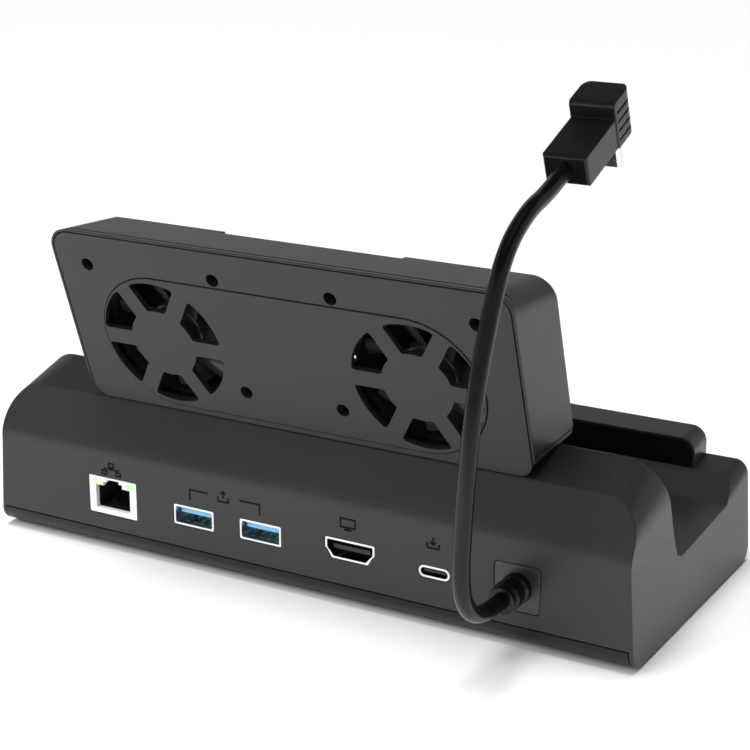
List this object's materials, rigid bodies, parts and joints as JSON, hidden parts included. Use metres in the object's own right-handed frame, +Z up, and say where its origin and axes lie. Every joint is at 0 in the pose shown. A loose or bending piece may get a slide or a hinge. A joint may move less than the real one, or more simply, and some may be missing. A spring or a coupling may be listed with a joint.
{
  "type": "handheld console docking stand",
  "caption": "Docking stand for a handheld console: slotted base, leaning back rest with cooling fans, sockets along the rear and a captive lead with an angled plug.",
  "frame": {"origin": "under the middle of the stand and its back rest, on the surface that the feet stand on", "axes": "+X along the length, +Y towards the sockets at the rear, +Z up"},
  "size_m": [0.1994, 0.1176, 0.1375],
  "materials": {
    "base_plastic": "fine satin texture, near black",
    "cover_plastic": "fine satin texture, near black",
    "stop_plastic": "fine satin texture, near black",
    "housing_plastic": "fine satin texture, near black",
    "panel_plastic": "smooth satin, near black",
    "grille_plastic": "smooth satin, near black",
    "black_rubber": "soft matt black",
    "foot_rubber": "soft matt black",
    "screw_steel": "black-passivated steel",
    "bright_screws": "plain zinc-plated steel",
    "fan_frame_plastic": "moulded black",
    "fan_rotor_plastic": "glossy black",
    "shaft_steel": "ground steel",
    "bearing_brass": "sintered bronze sleeve",
    "magnet": "bonded ferrite",
    "stator": "steel core with copper winding",
    "lead_sleeve": "black sleeve",
    "board_laminate": "green solder mask",
    "chip_resin": "black moulded resin",
    "capacitor_can": "bare aluminium cans",
    "spreader": "brushed aluminium",
    "connector_white": "white nylon",
    "nickel": "nickel-plated sheet",
    "jack_white": "white moulding",
    "lights": "pale clear plastic windows",
    "gold": "gold-plated contacts",
    "tongue_blue": "light blue moulding",
    "tongue_black": "black moulding",
    "gland_plastic": "near black moulding",
    "boot_rubber": "soft black moulding",
    "cord_jacket": "black cable jacket, soft sheen",
    "plug_plastic": "moulded black"
  },
  "bodies": {
    "dock": {"back_rest_pads": "black_rubber", "base_screws": "screw_steel", "base_shell": "base_plastic", "board_capacitors": "capacitor_can", "board_chips": "chip_resin", "board_connectors": "connector_white", "board_screws": "bright_screws", "bottom_cover": "cover_plastic", "cable_gland_plate": "gland_plastic", "cable_tail": "cord_jacket", "cord": "cord_jacket", "fan_bearing_1": "bearing_brass", "fan_bearing_2": "bearing_brass", "fan_frame_1": "fan_frame_plastic", "fan_frame_2": "fan_frame_plastic", "fan_leads": "lead_sleeve", "fan_screws": "screw_steel", "fan_stator_1": "stator", "fan_stator_2": "stator", "front_stop_bar": "stop_plastic", "front_stop_pad": "black_rubber", "grille_plate": "grille_plastic", "hdmi_shell": "nickel", "hdmi_tongue": "tongue_black", "heat_spreader": "spreader", "housing_screws": "bright_screws", "housing_shell": "housing_plastic", "main_board": "board_laminate", "panel_screws": "screw_steel", "plug_contacts": "tongue_black", "plug_housing": "plug_plastic", "plug_shell": "nickel", "rear_panel": "panel_plastic", "rj45_body": "jack_white", "rj45_contacts": "gold", "rj45_leds": "lights", "rj45_shield": "nickel", "rubber_feet": "foot_rubber", "slot_floor_pad": "black_rubber", "strain_relief_boot": "boot_rubber", "usb_a_shell_1": "nickel", "usb_a_shell_2": "nickel", "usb_a_tongue_1": "tongue_blue", "usb_a_tongue_2": "tongue_blue", "usb_c_shell": "nickel", "usb_c_tongue": "tongue_black"},
    "fan_1": {"fan_rotor_1": "fan_rotor_plastic", "fan_shaft_1": "shaft_steel", "fan_magnet_1": "magnet"},
    "fan_2": {"fan_rotor_2": "fan_rotor_plastic", "fan_shaft_2": "shaft_steel", "fan_magnet_2": "magnet"}
  },
  "joints": [
    {"name": "fan_spin_1", "type": "hinge", "parent": "dock", "child": "fan_1", "pos_m": [0.0389, 0.02811, 0.06785], "axis": [0, 0.9483, -0.3173], "continuous": true},
    {"name": "fan_spin_2", "type": "hinge", "parent": "dock", "child": "fan_2", "pos_m": [-0.0389, 0.02811, 0.06785], "axis": [0, 0.9483, -0.3173], "continuous": true}
  ]
}
